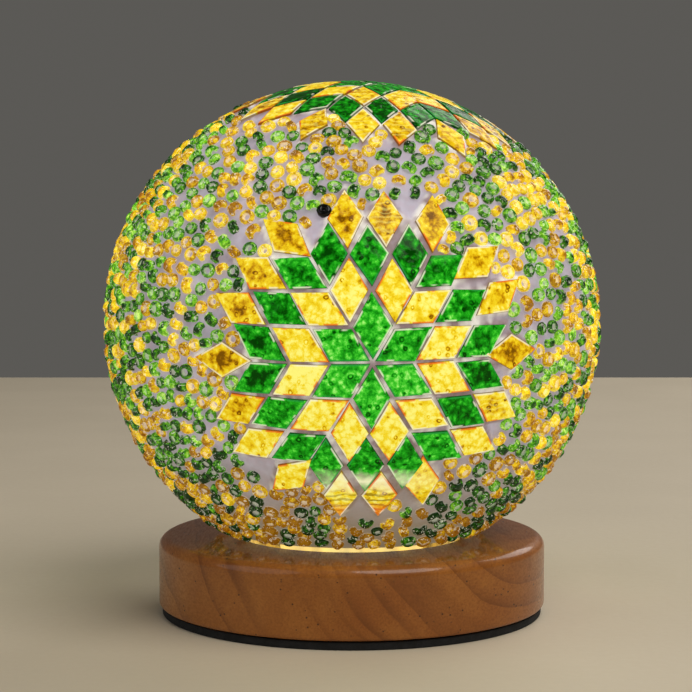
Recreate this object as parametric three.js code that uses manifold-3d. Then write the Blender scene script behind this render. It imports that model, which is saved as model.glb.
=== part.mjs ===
// Mosaic glass table lamp. A blown glass globe is covered with stars of glass tiles and a field of
// glass beads set in grout. It rests, loose, in a round seat turned in a wooden base, over an LED light.
// Millimetres, +Z up. The origin is the middle of the foot pad's underside; the front faces -Y.
import * as THREE from "three";
import { mergeVertices } from "three/addons/utils/BufferGeometryUtils.js";
import Module from "manifold-3d";

const wasm = await Module();
wasm.setup();

// ---- Driving dimensions ----

const gap = 0.3; // left between pieces that touch
const sunk = 0.1; // how far the solids of one piece run into each other

// Wooden base, a turned puck. Heights are above the surface that the lamp stands on.
const base = { radius: 50, height: 20, topRound: 2.6, footRound: 0.8, segments: 44 };
const pad = { radius: 49.2, height: 2 };
const seat = { radius: 28.9, floor: 16, chamfer: 0.6 }; // takes the globe's neck
const pocket = { radius: 21, floor: 11.5 }; // takes the light
const leadHole = { radius: 4 };
const bay = { radius: 33, top: 9 }; // takes the driver, from below
const rabbet = { radius: 38, top: 4.9 }; // takes the bottom cover
const cover = { radius: 37.6, low: 3.4, high: 4.6 };
const coverScrew = { circle: 35.5, head: 2.1, headHeight: 0.8, shank: 0.9, tip: 8.5, turn: 30 };

// Light: an LED board, its chips and screws, and a frosted dome over them.
const board = { radius: 20.4, low: 11.8, high: 13.2 };
const chip = { side: 4, height: 0.8, circle: 9.5, around: 6 };
const boardScrew = { circle: 15, head: 2, headHeight: 1, shank: 1.2, tip: 9.7, turn: 30 };
const dome = { flange: 20.4, flangeHeight: 1.2, radius: 18.9, wall: 1.3, shoulder: 17, top: 23.5 };
const driver = { length: 34, width: 16, low: 5.2, thick: 1.2 };
const driverBlocks = [
  { size: [7, 6], top: 8.6, at: [-11, 0] },
  { size: [4, 5], top: 7.8, at: [11, -4] },
  { size: [4.4, 4.4], top: 8.6, at: [11, 3] },
];
const leadWire = { radius: 0.5, spread: 1.5 };

// Power inlet, in the back of the base.
const inlet = { height: 8, body: 2.6, flange: 4, flangeThick: 1, inner: 31.9, face: 49.3 };
const socket = { bore: 2, depth: 9, pin: 0.6, pinSetBack: 1.5 };

// Globe. Radii are from its middle, and the upper half is pressed down a little.
const globe = { middle: 75, press: 0.974, segments: 30, ringStep: 15 };
const glass = { radius: 61, wall: 2.2, neck: 28.2, neckWall: 2.3, rim: 17.3 };
const gasket = { inner: 25, outer: 28.5, low: 16.3, high: 17 };
const grout = { inner: 61.3, outer: 62.5, edge: 30.5 };
const beads = { inner: 62.8, outer: 64.2, edge: 34.5 };

// Star tiles. A star has six sectors, each with rhombic tiles in rows that count out from its middle.
const tile = { low: 61.95, high: 63.5, joint: 0.8, bridge: 0.7, edgeBridge: 0.45, surface: 62.2 };
const cutter = { low: 50, high: 76 }; // a star's opening is cut between these radii
const starRows = 4;
const stars = [
  { name: "front", azimuth: 4.3, latitude: -5.2, turn: 0.4, pitch: 9.35 },
  { name: "right", azimuth: 131, latitude: -4, turn: 3, pitch: 9.3 },
  { name: "left", azimuth: -123.5, latitude: -6, turn: -2, pitch: 9.3 },
  { name: "top", azimuth: 37.5, latitude: 79.8, turn: -35, pitch: 8.87 },
];

// ---- Materials ----

const finish = (color, roughness, metalness = 0, extra = {}) =>
  new THREE.MeshStandardMaterial({ color, roughness, metalness, ...extra });
const varnishedWood = finish(0x8a5a34, 0.35);
const foam = finish(0x0c0d0e, 0.95);
const rubber = finish(0x2a2a2a, 0.8);
const blackPlastic = finish(0x161616, 0.5);
const steel = finish(0xb8bcc0, 0.3, 1);
const circuitBoard = finish(0xe6e6e0, 0.5);
const ledYellow = finish(0xf4d24a, 0.4);
const frosted = finish(0xf6f2e8, 0.6, 0, { transparent: true, opacity: 0.8 });
const redWire = finish(0xb01c18, 0.45);
const clearGlass = finish(0xeef2ee, 0.05, 0, { transparent: true, opacity: 0.35 });
const whiteGrout = finish(0xc9c3d2, 0.85);
const amberGlass = finish(0xe9a512, 0.12, 0, { transparent: true, opacity: 0.85 });
const greenGlass = finish(0x0c9a34, 0.12, 0, { transparent: true, opacity: 0.85 });

// ---- Shaping ----

const radians = THREE.MathUtils.degToRad;

// A closed geometry as a solid, with its faces pointing out.
function solidOf(geometry) {
  const bare = geometry.clone();
  bare.deleteAttribute("normal");
  bare.deleteAttribute("uv");
  const merged = mergeVertices(bare, 1e-4);
  const corners = Array.from(merged.index.array);
  const facets = [];
  for (let i = 0; i < corners.length; i += 3) {
    const [a, b, c] = corners.slice(i, i + 3);
    if (a !== b && b !== c && c !== a) facets.push([a, b, c]);
  }
  const build = (list) =>
    new wasm.Manifold(
      new wasm.Mesh({
        numProp: 3,
        vertProperties: merged.attributes.position.array,
        triVerts: new Uint32Array(list.flat()),
      }),
    );
  const solid = build(facets);
  return solid.volume() > 0 ? solid : build(facets.map(([a, b, c]) => [a, c, b]));
}

function geometryOf(solid) {
  const out = solid.getMesh();
  const geometry = new THREE.BufferGeometry();
  geometry.setAttribute("position", new THREE.BufferAttribute(out.vertProperties, 3));
  geometry.setIndex(new THREE.BufferAttribute(out.triVerts, 1));
  geometry.computeVertexNormals();
  return geometry;
}

// A profile of [radius, height] points turned about Z.
function turned(profile, segments) {
  const points = profile.map(([r, z]) => new THREE.Vector2(r, z));
  return solidOf(new THREE.LatheGeometry(points, segments).rotateX(Math.PI / 2));
}

function closedProfile(points) {
  return [...points, points[0]];
}

// Points of an elliptic arc in a profile, in degrees from the outward direction.
function arc(r, z, radiusR, radiusZ, from, to, steps) {
  return Array.from({ length: steps + 1 }, (_, i) => {
    const angle = radians(from + ((to - from) * i) / steps);
    return [r + radiusR * Math.cos(angle), z + radiusZ * Math.sin(angle)];
  });
}

function cylinder(radius, low, high, x = 0, y = 0, sides = 20) {
  const shape = new THREE.CylinderGeometry(radius, radius, high - low, sides);
  return solidOf(shape.rotateX(Math.PI / 2).translate(x, y, (low + high) / 2));
}

function box(sizeX, sizeY, low, high, x = 0, y = 0) {
  return solidOf(new THREE.BoxGeometry(sizeX, sizeY, high - low).translate(x, y, (low + high) / 2));
}

// Places spread evenly on a circle.
function around(count, circle, turn = 0) {
  return Array.from({ length: count }, (_, i) => {
    const angle = radians(turn + (360 * i) / count);
    return [circle * Math.cos(angle), circle * Math.sin(angle)];
  });
}

function tube(route, radius, sides = 8, steps = 10) {
  const path = new THREE.CatmullRomCurve3(route.map((p) => new THREE.Vector3(...p)));
  const section = new THREE.Shape(around(sides, radius).map(([x, y]) => new THREE.Vector2(x, y)));
  return solidOf(new THREE.ExtrudeGeometry(section, { steps, extrudePath: path, bevelEnabled: false }));
}

const lamp = new THREE.Group();
const globeGroup = new THREE.Group();
globeGroup.position.z = globe.middle;
lamp.add(globeGroup);

function place(name, solid, material, parent = lamp) {
  const mesh = new THREE.Mesh(geometryOf(solid), material);
  mesh.name = name;
  parent.add(mesh);
}

// ---- Wooden base, foot pad and bottom cover ----

const inletAxis = (solid) => solid.translate([0, 0, inlet.height]);
const alongY = (radius, from, to) =>
  solidOf(new THREE.CylinderGeometry(radius, radius, to - from, 24).translate(0, (from + to) / 2, 0));

const woodLow = pad.height + gap;
const woodProfile = closedProfile([
  [rabbet.radius, woodLow],
  ...arc(base.radius - base.footRound, woodLow + base.footRound, base.footRound, base.footRound, -90, 0, 2),
  ...arc(base.radius - base.topRound, base.height - base.topRound, base.topRound, base.topRound, 0, 90, 4),
  [seat.radius + seat.chamfer, base.height],
  [seat.radius, base.height - seat.chamfer],
  [seat.radius, seat.floor],
  [pocket.radius, seat.floor],
  [pocket.radius, pocket.floor],
  [leadHole.radius, pocket.floor],
  [leadHole.radius, bay.top],
  [bay.radius, bay.top],
  [bay.radius, rabbet.top],
  [rabbet.radius, rabbet.top],
]);
let wood = turned(woodProfile, base.segments);
wood = wood.subtract(inletAxis(alongY(inlet.body + gap, bay.radius - 2, base.radius)));
wood = wood.subtract(
  inletAxis(alongY(inlet.flange + gap, inlet.face - inlet.flangeThick - gap, base.radius + 2)),
);
const coverScrewPlaces = around(3, coverScrew.circle, coverScrew.turn);
for (const [x, y] of coverScrewPlaces) {
  wood = wood.subtract(cylinder(coverScrew.shank + gap, cover.low, coverScrew.tip + gap, x, y, 12));
}
const boardScrewPlaces = around(3, boardScrew.circle, boardScrew.turn);
for (const [x, y] of boardScrewPlaces) {
  wood = wood.subtract(cylinder(boardScrew.shank + gap, boardScrew.tip - gap, board.high, x, y, 12));
}
place("wood_base", wood, varnishedWood);

place("foot_pad", cylinder(pad.radius, 0, pad.height, 0, 0, base.segments), foam);

let coverDisc = cylinder(cover.radius, cover.low, cover.high, 0, 0, 36);
for (const [x, y] of coverScrewPlaces) {
  coverDisc = coverDisc.subtract(cylinder(coverScrew.shank + gap, pad.height, rabbet.top, x, y, 12));
}
place("bottom_cover", coverDisc, blackPlastic);
coverScrewPlaces.forEach(([x, y], i) => {
  const under = cover.low - gap;
  const head = cylinder(coverScrew.head, under - coverScrew.headHeight, under, x, y, 14);
  const shank = cylinder(coverScrew.shank, under - sunk, coverScrew.tip, x, y, 10);
  place(`cover_screw_${i + 1}`, head.add(shank), steel);
});

// ---- Driver, wires and power inlet ----

const driverTop = driver.low + driver.thick;
let driverBoard = box(driver.length, driver.width, driver.low, driverTop);
for (const block of driverBlocks) {
  driverBoard = driverBoard.add(box(...block.size, driverTop - sunk, block.top, ...block.at));
}
place("driver_board", driverBoard, circuitBoard);

[-1, 1].forEach((side, i) => {
  const x = side * leadWire.spread;
  const rise = [
    [x, 0, driverTop + gap],
    [x * 1.2, 0.4, 8.4],
    [x * 1.1, 0.2, 10],
    [x, 0, board.low - gap],
  ];
  place(`led_wire_${i + 1}`, tube(rise, leadWire.radius), redWire);
  const back = [
    [x, driver.width / 2 + gap, driver.low + driver.thick / 2],
    [x * 1.3, 14, 6.3],
    [x * 1.2, 23, 7.4],
    [x * 0.8, inlet.inner - gap, inlet.height],
  ];
  place(`inlet_wire_${i + 1}`, tube(back, leadWire.radius), redWire);
});

// A round socket with a centre pin, turned about Y, open to the back.
const socketProfile = [
  [0, inlet.inner],
  [inlet.body, inlet.inner],
  [inlet.body, inlet.face - inlet.flangeThick],
  [inlet.flange, inlet.face - inlet.flangeThick],
  [inlet.flange, inlet.face],
  [socket.bore, inlet.face],
  [socket.bore, inlet.face - socket.depth],
  [socket.pin, inlet.face - socket.depth],
  [socket.pin, inlet.face - socket.pinSetBack],
  [0, inlet.face - socket.pinSetBack],
];
const socketPoints = socketProfile.map(([r, y]) => new THREE.Vector2(r, y));
place("power_inlet", inletAxis(solidOf(new THREE.LatheGeometry(socketPoints, 24))), blackPlastic);

// ---- Light ----

let boardDisc = cylinder(board.radius, board.low, board.high, 0, 0, 36);
for (const [x, y] of boardScrewPlaces) {
  boardDisc = boardDisc.subtract(cylinder(boardScrew.shank + gap, pocket.floor, seat.floor, x, y, 12));
}
place("led_board", boardDisc, circuitBoard);
boardScrewPlaces.forEach(([x, y], i) => {
  const under = board.high + gap;
  const head = cylinder(boardScrew.head, under, under + boardScrew.headHeight, x, y, 14);
  const shank = cylinder(boardScrew.shank, boardScrew.tip, under + sunk, x, y, 10);
  place(`board_screw_${i + 1}`, head.add(shank), steel);
});
[[0, 0], ...around(chip.around, chip.circle)].forEach(([x, y], i) => {
  const low = board.high + gap;
  place(`led_chip_${i + 1}`, box(chip.side, chip.side, low, low + chip.height, x, y), ledYellow);
});

const domeLow = board.high + gap;
const domeInner = dome.radius - dome.wall;
const domeProfile = [
  ...arc(0, dome.shoulder - 0.4, domeInner, dome.top - dome.wall - dome.shoulder + 0.4, 90, 0, 6),
  [domeInner, domeLow],
  [dome.flange, domeLow],
  [dome.flange, domeLow + dome.flangeHeight],
  [dome.radius, domeLow + dome.flangeHeight],
  ...arc(0, dome.shoulder, dome.radius, dome.top - dome.shoulder, 0, 90, 6),
];
place("light_dome", turned(domeProfile, 30), frosted);

const gasketProfile = closedProfile([
  [gasket.inner, gasket.low],
  [gasket.outer, gasket.low],
  [gasket.outer, gasket.high],
  [gasket.inner, gasket.high],
]);
place("seat_gasket", turned(gasketProfile, 36), rubber);

// ---- Globe: its shape, its glass, and the grout and beads over it ----

// The upper half of everything on the globe is pressed down.
function pressed(solid) {
  return solid.warp((point) => {
    if (point[2] > 0) point[2] *= globe.press;
  });
}

// Profile points of a sphere from the top down to where it has the given radius about Z.
// All the globe's shells share their rings, so their facets stay parallel.
function spherePoints(radius, edge) {
  const last = 90 + THREE.MathUtils.radToDeg(Math.acos(edge / radius));
  const points = [];
  for (let down = 0; down < last - 3; down += globe.ringStep) {
    points.push([radius * Math.sin(radians(down)), radius * Math.cos(radians(down))]);
  }
  points.push([edge, -Math.sqrt(radius ** 2 - edge ** 2)]);
  return points;
}

function shell(inner, outer, edge) {
  const inside = spherePoints(inner, (edge * inner) / outer).reverse();
  return pressed(turned([...spherePoints(outer, edge), ...inside], globe.segments));
}

const rimLow = glass.rim - globe.middle;
const neckInner = glass.neck - glass.neckWall;
const glassProfile = [
  ...spherePoints(glass.radius, glass.neck),
  [glass.neck, rimLow],
  [neckInner, rimLow],
  ...spherePoints(glass.radius - glass.wall, neckInner).reverse(),
];
place("globe_glass", pressed(turned(glassProfile, globe.segments)), clearGlass, globeGroup);

// ---- Stars ----

const unit = (degrees) => new THREE.Vector2(Math.cos(radians(degrees)), Math.sin(radians(degrees)));
const sum = (...terms) =>
  terms.reduce((total, [times, vector]) => total.addScaledVector(vector, times), new THREE.Vector2());

// The direction on the sphere of a point of the flat star pattern, laid out from the star's middle
// so that distances from the middle keep their length.
function directionOf(star, point) {
  const azimuth = radians(star.azimuth);
  const latitude = radians(star.latitude);
  const flat = point.clone().rotateAround(new THREE.Vector2(), radians(star.turn));
  const out = new THREE.Vector3(
    Math.cos(latitude) * Math.sin(azimuth),
    -Math.cos(latitude) * Math.cos(azimuth),
    Math.sin(latitude),
  );
  const across = new THREE.Vector3(Math.cos(azimuth), Math.sin(azimuth), 0);
  const up = new THREE.Vector3().crossVectors(out, across);
  const reach = flat.length();
  if (reach < 1e-9) return out;
  const slope = reach / tile.surface;
  const tangent = across.multiplyScalar(flat.x / reach).addScaledVector(up, flat.y / reach);
  return out.multiplyScalar(Math.cos(slope)).addScaledVector(tangent, Math.sin(slope));
}

// The two tile-edge directions of a sector, and its middle direction.
function sectorOf(star, sector) {
  const middle = 90 + 60 * sector;
  return {
    axis: unit(middle),
    left: unit(middle + 30).multiplyScalar(star.pitch),
    right: unit(middle - 30).multiplyScalar(star.pitch),
  };
}

// The outer and inner outline of one row of tiles, joined corner to corner by narrow bridges.
// Going round from each sector's left to its right, which is clockwise.
function rowOutlines(star, row) {
  const half = tile.bridge / 2;
  const tip = tile.joint / 2 / Math.sin(radians(30)); // how far an inset sharp corner draws back
  const outer = [];
  const inner = [];
  for (let k = 0; k > -6; k--) {
    const { axis, left, right } = sectorOf(star, k);
    const leftWay = left.clone().normalize();
    const corner = (i, j) => sum([i, right], [j, left]);
    if (row < starRows - 1) {
      // The tile edge shared with the sector on the left carries a bridge near its outer end.
      outer.push(sum([1, corner(0, row + 1)], [-tile.edgeBridge, leftWay]));
      inner.push(sum([1, corner(0, row + 1)], [-tile.edgeBridge - tile.bridge, leftWay]));
    } else {
      // A single tile stands between two sectors, pointing outwards, with a bridge each side.
      const stem = corner(0, 3);
      const sides = [60, 0].map((away) => sum([1, stem], [star.pitch, unit(90 + 60 * k + away)]));
      const leftTip = sum([1, stem], [Math.sqrt(3) * star.pitch - tip, leftWay]);
      outer.push(sum([1, sides[0]], [half, leftWay]), leftTip, sum([1, sides[1]], [half, leftWay]));
      inner.push(sum([1, sides[0]], [-half, leftWay]), sum([1, stem], [tip, leftWay]));
      inner.push(sum([1, sides[1]], [-half, leftWay]));
      const first = corner(1, 3);
      const way = first.clone().normalize();
      outer.push(sum([1, first], [half, way]));
      inner.push(sum([1, first], [-half, way]));
    }
    const firstTile = row < starRows - 1 ? 0 : 1;
    const lastTile = row - firstTile;
    for (let i = firstTile; i <= lastTile; i++) {
      const j = row - i;
      inner.push(sum([1, corner(i, j)], [tip, axis]));
      outer.push(sum([1, corner(i + 1, j + 1)], [-tip, axis]));
      if (i < lastTile) {
        outer.push(sum([1, corner(i + 1, j)], [half, axis]));
        inner.push(sum([1, corner(i + 1, j)], [-half, axis]));
      }
    }
    if (row === starRows - 1) {
      const last = corner(3, 1);
      const way = last.clone().normalize();
      outer.push(sum([1, last], [half, way]));
      inner.push(sum([1, last], [-half, way]));
    }
  }
  return { outer, inner };
}

// One row of tiles, extruded flat and then bent onto the globe.
function tileRow(star, row) {
  const { outer, inner } = rowOutlines(star, row);
  const shape = new THREE.Shape(outer);
  shape.holes.push(new THREE.Path(inner.reverse())); // a hole runs the other way round
  const flat = new THREE.ExtrudeGeometry(shape, { depth: 1, bevelEnabled: false });
  const bent = flat.attributes.position;
  for (let i = 0; i < bent.count; i++) {
    const radius = bent.getZ(i) > 0.5 ? tile.high : tile.low;
    const direction = directionOf(star, new THREE.Vector2(bent.getX(i), bent.getY(i)));
    bent.setXYZ(i, ...direction.multiplyScalar(radius));
  }
  return pressed(solidOf(flat));
}

// The star's outline as a wedge that runs out from inside the globe, for cutting the layers open.
function starCutter(star) {
  const clear = tile.bridge / 2 + gap;
  const outline = [];
  for (let k = 0; k > -6; k--) {
    const { axis, left, right } = sectorOf(star, k);
    const corner = (i, j) => sum([i, right], [j, left]);
    const leftWay = left.clone().normalize();
    const rightWay = right.clone().normalize();
    outline.push(
      sum([1, corner(0, 3)], [Math.sqrt(3) * star.pitch, leftWay]),
      sum([1, corner(0, 3)], [star.pitch, axis], [clear, leftWay]),
      sum([1, corner(1, 3)], [clear, axis]),
      corner(2, 3),
      sum([1, corner(2, 2)], [clear, axis]),
      corner(3, 2),
      sum([1, corner(3, 1)], [clear, axis]),
      sum([1, corner(3, 0)], [star.pitch, axis], [clear, rightWay]),
    );
  }
  const count = outline.length;
  const ways = [new THREE.Vector2(), ...outline].map((point) => directionOf(star, point));
  const positions = [cutter.low, cutter.high].flatMap((radius) =>
    ways.flatMap((way) => way.clone().multiplyScalar(radius).toArray()),
  );
  const faces = [];
  for (let i = 0; i < count; i++) {
    const a = 1 + i;
    const b = 1 + ((i + 1) % count);
    const up = count + 1;
    faces.push(0, a, b, up, up + b, up + a, a, up + a, up + b, a, up + b, b);
  }
  const wedge = new THREE.BufferGeometry();
  wedge.setAttribute("position", new THREE.Float32BufferAttribute(positions, 3));
  wedge.setIndex(faces);
  return pressed(solidOf(wedge));
}

let groutShell = shell(grout.inner, grout.outer, grout.edge);
let beadShell = shell(beads.inner, beads.outer, beads.edge);
for (const star of stars) {
  const opening = starCutter(star);
  groutShell = groutShell.subtract(opening);
  beadShell = beadShell.subtract(opening);
  for (let row = 0; row < starRows; row++) {
    const glassOfRow = row % 2 === 0 ? greenGlass : amberGlass;
    place(`star_${star.name}_row_${row + 1}`, tileRow(star, row), glassOfRow, globeGroup);
  }
}
place("grout_layer", groutShell, whiteGrout, globeGroup);
place("bead_layer", beadShell, amberGlass, globeGroup);

export default lamp;
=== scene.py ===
import math
import bpy
import numpy as np
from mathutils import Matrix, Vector


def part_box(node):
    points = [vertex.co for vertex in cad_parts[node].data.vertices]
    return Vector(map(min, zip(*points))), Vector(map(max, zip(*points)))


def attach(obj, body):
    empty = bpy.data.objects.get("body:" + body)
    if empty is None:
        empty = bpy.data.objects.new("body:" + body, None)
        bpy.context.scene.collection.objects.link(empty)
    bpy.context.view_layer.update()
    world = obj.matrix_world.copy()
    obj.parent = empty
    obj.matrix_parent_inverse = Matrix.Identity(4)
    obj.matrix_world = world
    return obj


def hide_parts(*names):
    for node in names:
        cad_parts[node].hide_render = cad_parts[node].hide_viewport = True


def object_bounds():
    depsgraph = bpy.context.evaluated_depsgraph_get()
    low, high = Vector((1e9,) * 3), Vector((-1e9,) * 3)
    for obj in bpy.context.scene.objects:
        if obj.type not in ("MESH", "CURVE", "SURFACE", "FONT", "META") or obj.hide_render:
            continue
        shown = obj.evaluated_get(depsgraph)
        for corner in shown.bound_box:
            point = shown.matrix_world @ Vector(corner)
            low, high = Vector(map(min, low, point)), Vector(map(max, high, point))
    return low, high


# Mosaic glass table lamp: a glass globe under stars of glass tiles and a field of ring beads,
# standing loose in a turned wooden base. Shapes are worked out in millimetres and made in metres.

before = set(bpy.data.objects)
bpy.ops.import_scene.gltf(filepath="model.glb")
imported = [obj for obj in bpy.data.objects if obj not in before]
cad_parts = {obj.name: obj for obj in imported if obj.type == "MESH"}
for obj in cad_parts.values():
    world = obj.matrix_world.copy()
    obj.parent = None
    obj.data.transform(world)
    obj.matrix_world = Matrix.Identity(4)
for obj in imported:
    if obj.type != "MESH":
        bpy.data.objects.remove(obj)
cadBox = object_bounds()
mm = 0.001
random = np.random.default_rng(23)


def boxOf(node):
    # a node's lowest and highest corners, in millimetres
    low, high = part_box(node)
    return np.array(low) / mm, np.array(high) / mm


# Places are in millimetres, the lights' sizes in metres and their powers in watts.
camera = {"spot": (-1.47, -500.0, 103.8), "downward": 0.070, "lens": 100.65, "sensor": 36.0,
          "near": 10.0}
lights = [
    {"name": "key_softbox", "spot": (420, -560, 980), "size": 0.9, "power": 8.5,
     "tint": (1.0, 0.96, 0.9)},
    {"name": "fill_softbox", "spot": (-820, -460, 520), "size": 1.0, "power": 1.8,
     "tint": (0.95, 0.97, 1.0)},
    {"name": "back_softbox", "spot": (560, 720, 760), "size": 0.9, "power": 4.5,
     "tint": (1.0, 0.97, 0.93)},
]
lampMiddle = (0, 0, 60)
surround = {"tint": (0.13, 0.125, 0.115, 1.0), "strength": 0.8}
floorSize = {"front": -1300, "back": 700, "side": 1300}

cameraData = bpy.data.cameras.new("camera")
cameraData.lens = camera["lens"]
cameraData.sensor_width = camera["sensor"]
cameraData.clip_start = camera["near"] * mm
cameraObject = bpy.data.objects.new("camera", cameraData)
cameraObject.location = Vector(camera["spot"]) * mm
cameraObject.rotation_euler = (math.pi / 2 - camera["downward"], 0, 0)
bpy.context.scene.collection.objects.link(cameraObject)
bpy.context.scene.camera = cameraObject

for light in lights:
    lightData = bpy.data.lights.new(light["name"], "AREA")
    lightData.shape = "DISK"
    lightData.size = light["size"]
    lightData.energy = light["power"]
    lightData.color = light["tint"]
    lightObject = bpy.data.objects.new(light["name"], lightData)
    lightObject.location = Vector(light["spot"]) * mm
    aim = Vector(lampMiddle) * mm - lightObject.location
    lightObject.rotation_euler = aim.to_track_quat("-Z", "Y").to_euler()
    bpy.context.scene.collection.objects.link(lightObject)

world = bpy.data.worlds.new("studio")
world.use_nodes = True
background = world.node_tree.nodes["Background"]
background.inputs["Color"].default_value = surround["tint"]
background.inputs["Strength"].default_value = surround["strength"]
bpy.context.scene.world = world
bpy.context.scene.view_settings.view_transform = "Standard"
print("camera and lights ready")


def tone(red, green, blue):
    # sRGB 0 to 255 turned to linear light: ((c + 0.055) / 1.055) ** 2.4, or c / 12.92 where dark
    parts = [c / 255 for c in (red, green, blue)]
    linear = (c / 12.92 if c <= 0.04045 else ((c + 0.055) / 1.055) ** 2.4 for c in parts)
    return (*linear, 1.0)


black = tone(0, 0, 0)


def addNode(tree, kind, inputs=None, **settings):
    # an input is either a plain value or another node's socket to link
    made = tree.nodes.new(kind)
    for key, value in settings.items():
        setattr(made, key, value)
    for key, value in (inputs or {}).items():
        if isinstance(value, bpy.types.NodeSocket):
            tree.links.new(value, made.inputs[key])
        else:
            made.inputs[key].default_value = value
    return made


def calc(tree, operation, first, second=0.5, third=0.5):
    inputs = {0: first, 1: second, 2: third}
    return addNode(tree, "ShaderNodeMath", inputs, operation=operation).outputs[0]


def times(tree, first, second):
    return calc(tree, "MULTIPLY", first, second)


def vectorCalc(tree, operation, **inputs):
    # inputs are named first, second and Scale
    places = {{"first": 0, "second": 1}.get(key, key): value for key, value in inputs.items()}
    return addNode(tree, "ShaderNodeVectorMath", places, operation=operation).outputs


def weigh(tree, start, *terms):
    # start + the sum of value x weight
    total = start
    for value, weight in terms:
        total = calc(tree, "MULTIPLY_ADD", value, weight, total)
    return total


def spread(tree, value, low, high, newLow=0.0, newHigh=1.0):
    # low to high is spread over newLow to newHigh, and held at its ends
    inputs = {0: value, 1: low, 2: high, 3: newLow, 4: newHigh}
    return addNode(tree, "ShaderNodeMapRange", inputs).outputs[0]


def noise(tree, where, size, detail=2.0, roughness=0.5, distortion=0.0):
    # size is in millimetres
    inputs = {"Vector": where, "Scale": 1 / (size * mm), "Detail": detail}
    inputs.update({"Roughness": roughness, "Distortion": distortion})
    return addNode(tree, "ShaderNodeTexNoise", inputs).outputs["Fac"]


def cells(tree, where, size, feature="F1", smoothness=None):
    inputs = {"Vector": where, "Scale": 1 / (size * mm)}
    if smoothness is not None:
        inputs["Smoothness"] = smoothness
    return addNode(tree, "ShaderNodeTexVoronoi", inputs, feature=feature)


def mixColor(tree, amount, first, second):
    inputs = {0: amount, 6: first, 7: second}
    return addNode(tree, "ShaderNodeMix", inputs, data_type="RGBA").outputs[2]


def ramp(tree, value, stops):
    made = addNode(tree, "ShaderNodeValToRGB", {0: value})
    points = made.color_ramp.elements
    while len(points) < len(stops):
        points.new(0.5)
    for point, (place, color) in zip(points, stops):
        point.position = place
        point.color = color
    return made.outputs["Color"]


def attribute(tree, name):
    return addNode(tree, "ShaderNodeAttribute", attribute_name=name).outputs["Fac"]


def objectPlace(tree):
    return addNode(tree, "ShaderNodeTexCoord").outputs["Object"]


def heightOf(tree, place):
    return addNode(tree, "ShaderNodeSeparateXYZ", {0: place}).outputs[2]


def heightFade(tree, height, span, most):
    # most below the first height of the span, falling to nothing at the second
    return spread(tree, height, span[0] * mm, span[1] * mm, most, 0.0)


def firstPart(tree, color):
    return addNode(tree, "ShaderNodeSeparateColor", {0: color}).outputs[0]


def waves(tree, place, scale, distortion, **more):
    # level bands, one above the other
    inputs = {"Vector": place, "Scale": scale, "Distortion": distortion, "Detail": 2.0}
    inputs.update({key.replace("_", " "): value for key, value in more.items()})
    return addNode(tree, "ShaderNodeTexWave", inputs, bands_direction="Z").outputs["Fac"]


def bump(tree, height, strength, distance):
    inputs = {"Height": height, "Strength": strength, "Distance": distance * mm}
    return addNode(tree, "ShaderNodeBump", inputs).outputs["Normal"]


def newMaterial(name, **plain):
    # plain values sit on the shader's own sockets, with _ for each space in a socket's name
    material = bpy.data.materials.new(name)
    material.use_nodes = True
    tree = material.node_tree
    shader = tree.nodes["Principled BSDF"]
    for key, value in plain.items():
        shader.inputs[key.replace("_", " ")].default_value = value
    return material, tree, shader


def feed(tree, shader, **sockets):
    for key, value in sockets.items():
        tree.links.new(value, shader.inputs[key.replace("_", " ")])


def newGroup(name, inputs, outputs):
    group = bpy.data.node_groups.new(name, "ShaderNodeTree")
    for label, kind, value in inputs:
        socket = group.interface.new_socket(label, in_out="INPUT", socket_type=kind)
        if value is not None:
            socket.default_value = value
    for label in outputs:
        group.interface.new_socket(label, in_out="OUTPUT", socket_type="NodeSocketFloat")
    enter = group.nodes.new("NodeGroupInput")
    leave = group.nodes.new("NodeGroupOutput")
    return group, enter.outputs, leave.inputs


def useGroup(tree, group, **inputs):
    made = tree.nodes.new("ShaderNodeGroup")
    made.node_tree = group
    for key, value in inputs.items():
        if isinstance(value, bpy.types.NodeSocket):
            tree.links.new(value, made.inputs[key])
        else:
            made.inputs[key].default_value = value
    return made.outputs


hammered = {
    "bendScale": 300.0, "bendDepth": 0.0016, "ringCell": 2.0, "ringRadius": 0.22, "ringWidth": 0.13,
    "ringShare": (0.3, 0.9), "spotCell": 1.5, "spotSoftness": 0.35, "broad": 2.6, "fine": 0.55,
    "start": 0.1, "broadWeight": 0.6, "fineWeight": 0.8, "spotWeight": -0.7, "ringWeight": -0.62,
    "hollow": 1.9, "hollowSoftness": 0.6, "ripple": 0.8, "rippleWeight": 0.45,
    "streakScale": 260.0, "streakBend": 9.0, "streakDetail": 0.8,
}


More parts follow.
